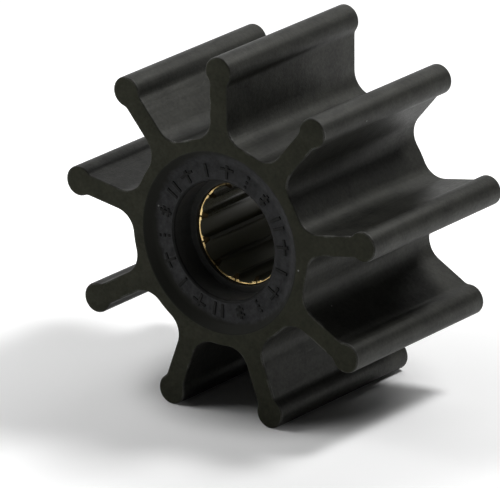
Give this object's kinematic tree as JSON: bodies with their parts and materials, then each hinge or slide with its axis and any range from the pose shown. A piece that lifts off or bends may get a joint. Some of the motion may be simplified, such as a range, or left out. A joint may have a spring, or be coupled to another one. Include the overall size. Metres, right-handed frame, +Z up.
{
  "type": "rubber pump impeller",
  "caption": "Flexible pump impeller: moulded rubber blades with round beads at their tips, bonded to a brass bush with a splined bore.",
  "frame": {"origin": "on the axis of the splined bore, half-way along it", "axes": "+Y along the bore, +Z up through one blade; the two lowest blade tips stand on the surface"},
  "size_m": [0.0564, 0.032, 0.0556],
  "materials": {
    "rubber": "satin moulded",
    "brass": "machined"
  },
  "bodies": {
    "root": {"rubber_vane_body": "rubber", "splined_brass_bush": "brass"}
  },
  "joints": []
}
